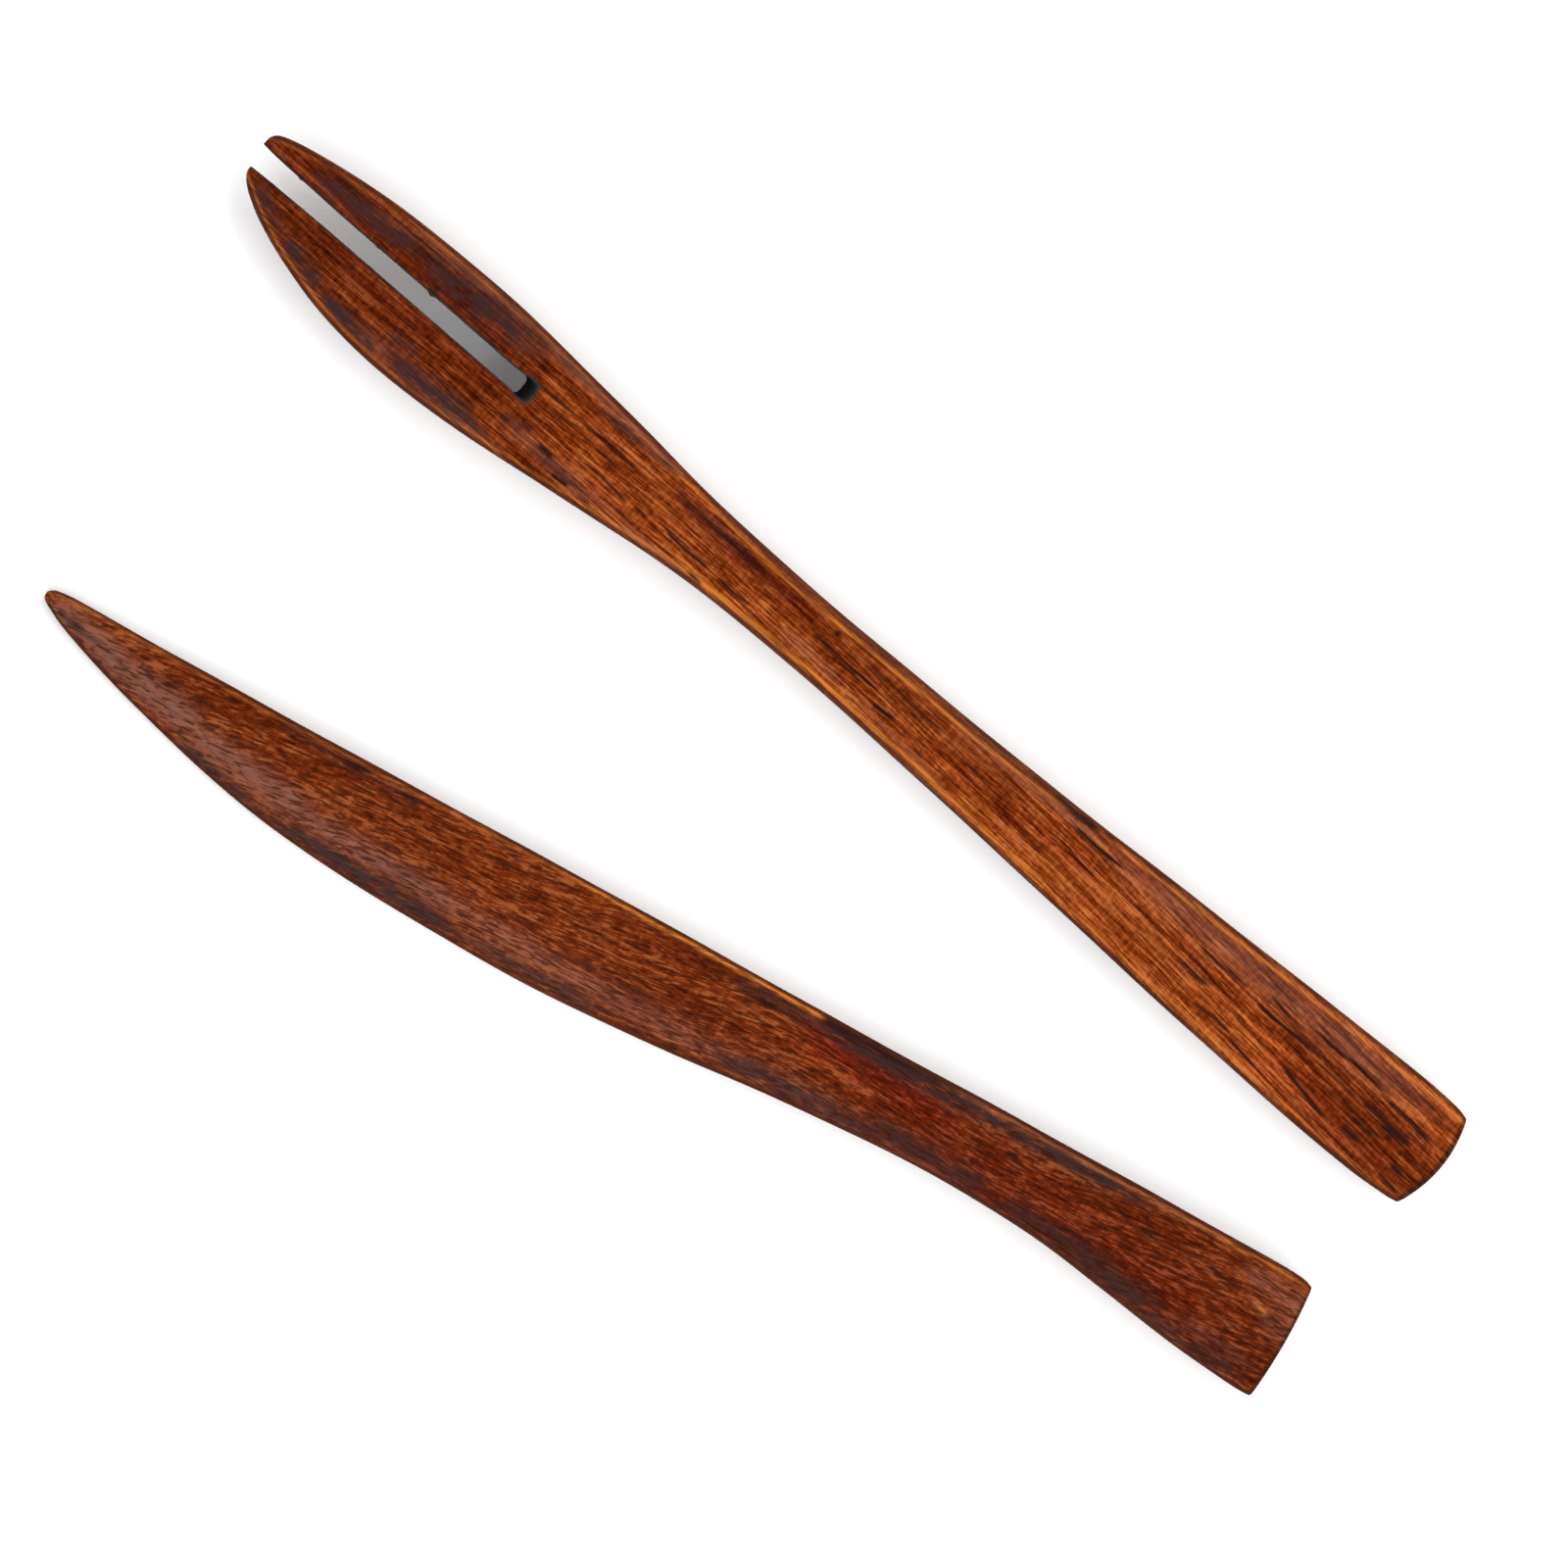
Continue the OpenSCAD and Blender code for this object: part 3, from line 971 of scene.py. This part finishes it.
def fork_dark(x, y, low, high, face, arris):
    """Dark strokes, the butt's rim, a thin line of painted shade along each edge and a small knot."""
    strokes = painted(x, y, FORK_DARK, DARK_WOBBLE) * face
    rim = ease(x + FORK_BOW * (y / FORK_BUTT_HALF) ** 2, FORK_LENGTH - 0.85, FORK_LENGTH - 0.4)
    # painted shade: thin dark lines along both edges
    low_edge_shade = 0.36 * ease(x, 15, 25) * fade(low, 0.3, 0.62)
    high_edge_shade = 0.3 * ease(x, 60, 120) * fade(high, 0.3, 0.62)
    edges = np.maximum(low_edge_shade, high_edge_shade) * arris
    knot = fade(np.hypot(x - 84.7, (y - 2.3) * 1.1), 0.25, 0.55)
    return np.maximum.reduce([1.4 * strokes, 0.85 * rim, edges, 1.3 * knot * face])


def fork_slot_dark_and_shade(x, y):
    """Dark end grain with painted shade at the slot's end, and painted shade along the slot's arrises.
    """
    gap = np.abs(y - slot_middle(x))
    far = np.hypot(np.maximum(x - 40.6, 0) / 0.75, np.maximum(gap - 0.7, 0) / 0.75)
    end = ease(x, 38.8, 39.6) * fade(far, 0.85, 1.25)
    # painted shade: dark lines along the slot's arrises
    arris = fade(gap - slot_half(x), 0.02, 0.3) * fade(x, 41.2, 41.8)
    return np.maximum(end, 0.75 * arris)


def fork_side_shade(x, low, high, up):
    """Painted shade: the sides, a thin outline inside both edges and the neck's facet, darkened."""
    outline = fade(np.minimum(low, high), 0.28, 0.62)
    strip = ease(1.1 - high, 0, 0.3) * fork_facet(x)
    return np.maximum.reduce([fade(up, 0.15, 0.6), outline, 0.75 * strip])


def fork_looks(own, normal):
    """Dark with painted edge shade, gold with a painted highlight, purple; the slot's dark end with
    painted shade, painted side shade, bright; painted sheen, red and shade, for the fork's points.
    """
    x, y, _ = own.T
    up = normal[:, 2]
    low = y - smooth(FORK_PLAN, 1, x)
    high = smooth(FORK_PLAN, 2, x) - y
    face = ease(up, 0.35, 0.8)
    arris = ease(up, *ARRIS_FACING)
    return (
        fork_dark(x, y, low, high, face, arris),
        fork_gold(x, low, high) * arris,
        painted(x, y, FORK_PURPLE, STAIN_WOBBLE) * face,
        fork_slot_dark_and_shade(x, y),
        fork_side_shade(x, low, high, up),
        painted(x, y, FORK_BRIGHT, BRIGHT_WOBBLE) * face,
        painted(x, y, FORK_SHEEN, STAIN_WOBBLE) * face,
        painted(x, y, FORK_RED, STAIN_WOBBLE),
        painted(x, y, FORK_SHADE, STAIN_WOBBLE) * face,
    )


def knife_gold(x, y, high):
    """A gold line along the back's arris, bared wood with a painted highlight on it, and a small
    scratch.
    """
    spine = within(x, (64, 74), (98.5, 100))
    tail = within(x, (136, 143), (159, 162))
    pale = within(x, (108, 114), (140, 150))
    gone = within(x, (99.5, 101), (114, 120))
    level = 0.25 + 0.75 * spine + 0.15 * tail + 0.05 * pale - 0.25 * gone
    line = band(high, 0.56 + 0.12 * ease(x, 100, 110), 0.23)
    return np.maximum(line * level, painted(x, y, KNIFE_SCRATCH, 0.0))


def knife_dark(x, y, low, high, face, arris):
    """Dark strokes, the butt's rim, a scorched stretch and painted shade along both edges."""
    strokes = painted(x, y, KNIFE_DARK, DARK_WOBBLE) * face
    rim = ease(x + KNIFE_BOW * (y / KNIFE_BUTT_HALF) ** 2, KNIFE_END - 0.6, KNIFE_END - 0.2)
    scorched = within(x, (99.2, 100.3), (108, 122)) * fade(high, 0.7, 1.7) * face
    middle = within(x, (55, 65), (90, 100))
    # painted shade: thin dark lines along both edges
    low_edge_shade = 0.42 * (1 - 0.5 * middle) * fade(low, 0.32, 0.62)
    high_edge_shade = 0.28 * ease(x, 112, 120) * fade(high, 0.3, 0.5)
    edges = np.maximum(low_edge_shade, high_edge_shade) * arris
    return np.maximum.reduce([strokes, 0.8 * rim, 0.85 * scorched, edges])


def knife_looks(own, normal):
    """The same marks for the knife's points, where the purple is mostly painted dim sheen; it has no
    slot to darken.
    """
    x, y, _ = own.T
    up = normal[:, 2]
    low = y - smooth(KNIFE_PLAN, 1, x)
    high = smooth(KNIFE_PLAN, 2, x) - y
    face = ease(up, 0.2, 0.6)
    arris = ease(up, *ARRIS_FACING)
    outline = fade(np.minimum(low, high), 0.24, 0.5)
    return (
        knife_dark(x, y, low, high, face, arris),
        knife_gold(x, y, high),
        # mostly painted dim sheen
        painted(x, y, KNIFE_PURPLE_SHEEN, STAIN_WOBBLE) * face,
        0 * x,
        # painted shade on the knife's sides and a thin outline inside its edges
        np.maximum(fade(up, 0.1, 0.5), outline),
        painted(x, y, KNIFE_BRIGHT, BRIGHT_WOBBLE) * face,
        painted(x, y, KNIFE_SHEEN, STAIN_WOBBLE) * face,
        painted(x, y, KNIFE_RED, STAIN_WOBBLE),
        painted(x, y, KNIFE_SHADE, STAIN_WOBBLE) * face,
    )


def fork_grain(own):
    """Places in the fork's grain, which leans behind the neck."""
    x, y, z = own.T
    slant = 0.02 * x + 0.07 * np.clip(x - 120, 0, None)
    across = y + slant + 0.3 * np.sin(x / 19 + 0.8) + 0.1 * np.sin(x / 5.3 + y)
    return np.stack([x, across, z + 0.02 * x], -1)


def knife_grain(own):
    """Places in the knife's grain, which rises over the blade."""
    x, y, z = own.T
    rise = 0.1 * np.clip(x, 0, 95) + 0.02 * np.clip(x - 95, 0, None)
    across = y - rise + 0.35 * np.sin(x / 9.5 + 0.35 * y) + 0.1 * np.sin(x / 3.1 + 1.3 * y)
    return np.stack([x, across, z], -1)


def store(mesh, name, values):
    """Keeps three numbers at each point of a mesh."""
    layer = mesh.attributes.new(name, "FLOAT_VECTOR", "POINT")
    layer.data.foreach_set("vector", np.ascontiguousarray(values, np.float32).reshape(-1))


def mark(item, own, looks, grain):
    """Keeps a piece's marks and grain on its mesh."""
    mesh = item.data
    normal = np.zeros(len(mesh.vertices) * 3)
    mesh.vertex_normals.foreach_get("vector", normal)
    found = looks(own, normal.reshape(-1, 3))
    for name, start in (("marks", 0), ("shade_and_bright", 3), ("sheen_and_tints", 6)):
        store(mesh, name, np.stack(found[start : start + 3], -1))
    store(mesh, "grain", grain(own))


fork_points, fork_faces = make_fork()
fork = build("fork", fork_to_frame(fork_points), fork_faces)
knife_points, knife_faces = make_knife()
knife = build("knife", knife_to_frame(knife_points), knife_faces)

# ------------ wood


class Graph:
    """Short ways to add shader nodes to one material."""

    def __init__(self, name):
        self.material = bpy.data.materials.new(name)
        self.material.use_nodes = True
        self.tree = self.material.node_tree
        self.shader = self.tree.nodes["Principled BSDF"]

    def put(self, socket, value):
        """Links an output to a socket, or sets a plain value."""
        if isinstance(value, bpy.types.NodeSocket):
            self.tree.links.new(value, socket)
        else:
            socket.default_value = value

    def node(self, kind, inputs):
        """A new shader node with these inputs."""
        node = self.tree.nodes.new("ShaderNode" + kind)
        for name, value in inputs.items():
            self.put(node.inputs[name], value)
        return node

    def math(self, kind, a, b, clamp=False):
        node = self.node("Math", {0: a, 1: b})
        node.operation = kind
        node.use_clamp = clamp
        return node.outputs[0]

    def times(self, a, b, clamp=False):
        return self.math("MULTIPLY", a, b, clamp)

    def attribute(self, name):
        """The three numbers that the mesh keeps under a name."""
        node = self.node("Attribute", {})
        node.attribute_name = name
        return node.outputs["Vector"]

    def split(self, vector):
        return self.node("SeparateXYZ", {0: vector}).outputs

    def noise(self, vector, sizes, detail, roughness, distortion, shift):
        """Noise with grains of these sizes in millimetres."""
        scale = [1 / size for size in sizes]
        move = (shift, 1.7 * shift, 0.6 * shift)
        place = self.node("Mapping", {"Scale": scale, "Location": move, "Vector": vector}).outputs[0]
        look = {"Detail": detail, "Roughness": roughness, "Distortion": distortion}
        return self.node("TexNoise", {"Scale": 1.0, **look, "Vector": place}).outputs[0]

    def step(self, value, low, high, start=0.0, end=1.0):
        """A smooth change from start to end between low and high."""
        limits = {"From Min": low, "From Max": high, "To Min": start, "To Max": end}
        node = self.node("MapRange", {**limits, "Value": value})
        node.interpolation_type = "SMOOTHSTEP"
        return node.outputs["Result"]

    def ramp(self, value, stops):
        node = self.node("ValToRGB", {0: value})
        fill_ramp(node.color_ramp, stops)
        return node.outputs["Color"]

    def mix(self, share, a, b, kind="MIX"):
        """Colour a with a share of colour b."""
        node = self.node("Mix", {0: share})
        node.data_type = "RGBA"
        node.blend_type = kind
        node.clamp_factor = True
        self.put(node.inputs[6], a)
        self.put(node.inputs[7], (*b, 1) if isinstance(b, tuple) else b)
        return node.outputs[2]

    def tint(self, share, color, by):
        """A share of a colour multiplied by another."""
        return self.mix(share, color, self.mix(1.0, color, by, "MULTIPLY"))

    def added(self, start, *terms):
        """start plus each (noise, amount) about the noise's middle."""
        total = start
        for value, amount in terms:
            centred = self.math("SUBTRACT", value, 0.5)
            total = self.math("ADD", total, self.times(centred, amount))
        return total


def fill_ramp(line, stops):
    """Gives a colour ramp its stops, each a (place, colour)."""
    while len(line.elements) < len(stops):
        line.elements.new(0.5)
    for element, (place, color) in zip(line.elements, stops):
        element.position = place
        element.color = (*color, 1)


# tone, colour
FORK_RAMP = [
    (0.09, (0.036, 0.004, 0.0005)),
    (0.24, (0.062, 0.0084, 0.001)),
    (0.365, (0.095, 0.0154, 0.002)),
    (0.5, (0.158, 0.0256, 0.003)),
    (0.635, (0.226, 0.042, 0.0064)),
    (0.76, (0.29, 0.069, 0.015)),
    (0.91, (0.39, 0.112, 0.026)),
]
KNIFE_RAMP = [
    (0.09, (0.032, 0.004, 0.0006)),
    (0.24, (0.056, 0.0078, 0.0014)),
    (0.365, (0.08, 0.012, 0.0022)),
    (0.5, (0.108, 0.0158, 0.0024)),
    (0.635, (0.136, 0.021, 0.003)),
    (0.76, (0.17, 0.037, 0.009)),
    (0.91, (0.24, 0.064, 0.018)),
]
# gold of arrises bared by wear, with a painted highlight in it
GOLD = (0.5, 0.15, 0.022)
# purple of stain mottling on the fork, and a painted dim sheen along the knife's edges
PURPLE_STAIN_AND_SHEEN = (0.034, 0.016, 0.015)
STREAK = (0.022, 0.0058, 0.0036)
PORE = (0.03, 0.005, 0.0012)
# painted shade on the sides, the outlines and the fork's neck facet
SIDE_SHADE = (0.052, 0.0105, 0.002)
# black at the fork slot's end and along its arrises: dark end grain and painted shade
BLACK = (0.022, 0.023, 0.024)
# painted sheen: a pinkish-grey reflection mixed into the colour
PAINTED_SHEEN = (0.175, 0.073, 0.052)
# these two multiply the colour under them
RED = (0.88, 0.52, 0.7)
SHADE = (0.3, 0.22, 0.3)
SHADE_SHARE = 0.85

# how strongly the relief shows, its height in metres, and the oiled wood's specular level
BUMP = 0.35
BUMP_HEIGHT = 0.06 * MM
SHINE = 0.04

# tone of the plain wood, range of the noise that makes pores, and then the sizes of each noise in
# millimetres along, across and through, and how much it darkens pores or changes the tone
FORK_FIGURE = {
    "tone": 0.53,
    "pore_range": (0.6, 0.74),
    "pore": ((2.4, 0.2, 0.3), 0.45),
    "broad": ((34, 3.4, 3.4), 0.5),
    "streak": ((20, 0.8, 0.9), 1.1),
    "fibre": ((5, 0.26, 0.4), 1.3),
    "fine": ((1.0, 0.16, 0.3), 0.7),
    "ripple": ((0.42, 1.3, 1.3), 0.45),
}
KNIFE_FIGURE = {
    "tone": 0.61,
    "pore_range": (0.52, 0.62),
    "pore": ((1.9, 0.3, 0.35), 0.7),
    "broad": ((26, 3.6, 3.6), 0.9),
    "streak": ((10, 0.8, 0.9), 0.9),
    "fibre": ((2.4, 0.34, 0.4), 1.6),
    "fine": ((1.0, 0.16, 0.3), 1.0),
    "ripple": ((0.42, 1.3, 1.3), 0.4),
}
# sizes of the patches that break up the purple stains
PATCH = (2.6, 0.8, 0.8)
# detail, roughness, distortion and shift of each noise
NOISES = {
    "broad": (2, 0.5, 0, 0),
    "streak": (3, 0.6, 0.3, 7.1),
    "fibre": (2, 0.6, 0, 3.3),
    "fine": (1, 0.5, 0, 9.2),
    "pore": (1, 0.4, 0.4, 5.7),
    "ripple": (1, 0.5, 0, 2.9),
}
PATCH_NOISE = (3, 0.6, 0.6, 12.4)
TONE_NOISES = ("broad", "streak", "fibre", "fine", "ripple")


def wood_tone(g, figure, noises, bright):
    """Tone from dark to light, which the bright streaks lift."""
    tone = g.added(figure["tone"], *[(noises[name], figure[name][1]) for name in TONE_NOISES])
    lift = g.step(noises["fibre"], 0.3, 0.6, 0.12, 0.34)
    return g.math("ADD", tone, g.times(bright, lift), clamp=True)


def wood_color(g, color, noises, pores, marks, shade_and_bright, sheen_and_tints):
    """The wood's colour with its marks laid over it."""
    fibre = noises["fibre"]
    patch = g.noise(g.attribute("grain"), PATCH, *PATCH_NOISE)
    color = g.tint(g.times(sheen_and_tints["Z"], SHADE_SHARE), color, SHADE)
    color = g.tint(sheen_and_tints["Y"], color, RED)
    layers = [
        # painted sheen
        (g.times(sheen_and_tints["X"], g.step(fibre, 0.25, 0.7, 0.35, 1.0)), PAINTED_SHEEN),
        # purple: stain on the fork, painted dim sheen on the knife
        (g.times(marks["Z"], g.step(patch, 0.32, 0.54, 0.25, 1.4), clamp=True), PURPLE_STAIN_AND_SHEEN),
        (pores, PORE),
        # gold arrises: wear with a painted highlight
        (g.times(marks["Y"], g.step(fibre, 0.34, 0.6, 0.3, 1.1), clamp=True), GOLD),
        (g.times(marks["X"], g.step(fibre, 0.3, 0.62, 1.5, 0.8), clamp=True), STREAK),
        # painted shade on the sides and outlines
        (g.times(shade_and_bright["Y"], g.step(noises["streak"], 0.36, 0.62, 0.92, 0.6), clamp=True), SIDE_SHADE),
        # the slot's dark end grain and painted shade
        (shade_and_bright["X"], BLACK),
    ]
    for share, over in layers:
        color = g.mix(share, color, over)
    return color


def wood_roughness(g, fibre, pores, shade_and_bright):
    """Roughness: more in pores, at the slot's dark end and on the sides with painted shade."""
    rough = g.math("ADD", g.step(fibre, 0.25, 0.75, 0.26, 0.36), g.times(pores, 0.12))
    rough = g.math("ADD", rough, g.times(shade_and_bright["X"], 0.3))
    return g.math("ADD", rough, g.times(shade_and_bright["Y"], 0.3), clamp=True)


def wood_relief(g, noises, pores):
    """Fine fibres and ripples that stand out, and pores that lie deep."""
    relief = g.added(0.5, (noises["fibre"], 0.5), (noises["fine"], 0.35), (noises["ripple"], 0.15))
    relief = g.math("SUBTRACT", relief, g.times(pores, 0.7))
    bump = g.node("Bump", {"Strength": BUMP, "Distance": BUMP_HEIGHT, "Height": relief})
    return bump.outputs["Normal"]


def wood(name, ramp, figure):
    """Dark oiled wood with the marks kept on the mesh."""
    g = Graph(name)
    grain = g.attribute("grain")
    marks, shade_and_bright, sheen_and_tints = [g.split(g.attribute(kept)) for kept in ("marks", "shade_and_bright", "sheen_and_tints")]
    noises = {kind: g.noise(grain, figure[kind][0], *look) for kind, look in NOISES.items()}
    pores = g.step(noises["pore"], *figure["pore_range"])
    plain = g.ramp(wood_tone(g, figure, noises, shade_and_bright["Z"]), ramp)
    color = wood_color(g, plain, noises, g.times(pores, figure["pore"][1]), marks, shade_and_bright, sheen_and_tints)
    g.put(g.shader.inputs["Base Color"], color)
    g.put(g.shader.inputs["Roughness"], wood_roughness(g, noises["fibre"], pores, shade_and_bright))
    g.put(g.shader.inputs["Normal"], wood_relief(g, noises, pores))
    g.put(g.shader.inputs["Specular IOR Level"], SHINE)
    return g.material


mark(fork, fork_points, fork_looks, fork_grain)
mark(knife, knife_points, knife_looks, knife_grain)
fork.data.materials.append(wood("fork_wood", FORK_RAMP, FORK_FIGURE))
knife.data.materials.append(wood("knife_wood", KNIFE_RAMP, KNIFE_FIGURE))

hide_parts("fork_handle", "fork_wide_tine", "fork_narrow_tine")
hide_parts("knife_tool")
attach(fork, "fork")
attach(knife, "knife")

# ------------ table and light

# half the table's width in metres, and its finish, with a faint glow
TABLE_HALF = 3.0
TABLE_FINISH = {
    "Base Color": (0.9, 0.9, 0.9, 1),
    "Roughness": 0.8,
    "Specular IOR Level": 0.1,
    "Emission Color": (1, 1, 1, 1),
    "Emission Strength": 0.08,
}

# name, side and tilt from overhead in degrees, width in metres, power in watts
SOFTBOXES = [
    ("softbox_low", -79, 45, 0.3, 1.3),
    ("softbox_high", 95, 45, 0.34, 1.3),
    ("softbox_end", 4, 60, 0.5, 4.0),
]
SOFTBOX_DISTANCE = 0.8

# height above the horizon as a sine, brightness
SKY = [(0.0, 0.6), (0.35, 0.82), (0.72, 0.8), (0.88, 0.1), (1.0, 0.02)]
SKY_STRENGTH = 1.8


def make_floor():
    """A flat pale table top under the tools."""
    mesh = bpy.data.meshes.new("floor")
    corners = [(-1, -1), (1, -1), (1, 1), (-1, 1)]
    mesh.from_pydata([(x * TABLE_HALF, y * TABLE_HALF, 0) for x, y in corners], [], [(0, 1, 2, 3)])
    material = bpy.data.materials.new("table")
    material.use_nodes = True
    shader = material.node_tree.nodes["Principled BSDF"]
    for name, value in TABLE_FINISH.items():
        shader.inputs[name].default_value = value
    mesh.materials.append(material)
    add("floor", mesh)


def make_softbox(name, toward, tilt, width, power):
    """A square light that looks at the tools and isn't seen."""
    data = bpy.data.lights.new(name, "AREA")
    data.shape = "RECTANGLE"
    data.size = width
    data.size_y = width
    data.energy = power
    light = add(name, data)
    turn, lift = math.radians(toward), math.radians(tilt)
    out, up = SOFTBOX_DISTANCE * math.sin(lift), SOFTBOX_DISTANCE * math.cos(lift)
    light.location = (out * math.cos(turn), out * math.sin(turn), up)
    light.rotation_euler = (0, lift, turn)
    light.visible_camera = False


def make_world():
    """A pale room, dim overhead and bright round the sides."""
    world = bpy.data.worlds.new("room")
    world.use_nodes = True
    tree = world.node_tree
    back = tree.nodes["Background"]
    place = tree.nodes.new("ShaderNodeTexCoord")
    split = tree.nodes.new("ShaderNodeSeparateXYZ")
    ramp = tree.nodes.new("ShaderNodeValToRGB")
    ramp.color_ramp.interpolation = "EASE"
    fill_ramp(ramp.color_ramp, [(height, (level, level, level)) for height, level in SKY])
    tree.links.new(place.outputs["Generated"], split.inputs[0])
    tree.links.new(split.outputs["Z"], ramp.inputs[0])
    tree.links.new(ramp.outputs["Color"], back.inputs["Color"])
    back.inputs["Strength"].default_value = SKY_STRENGTH
    bpy.context.scene.world = world


make_floor()
make_world()
for softbox in SOFTBOXES:
    make_softbox(*softbox)

view = bpy.context.scene.view_settings
view.view_transform = "Standard"
view.look = "None"
view.exposure = 0.0
view.gamma = 1.0
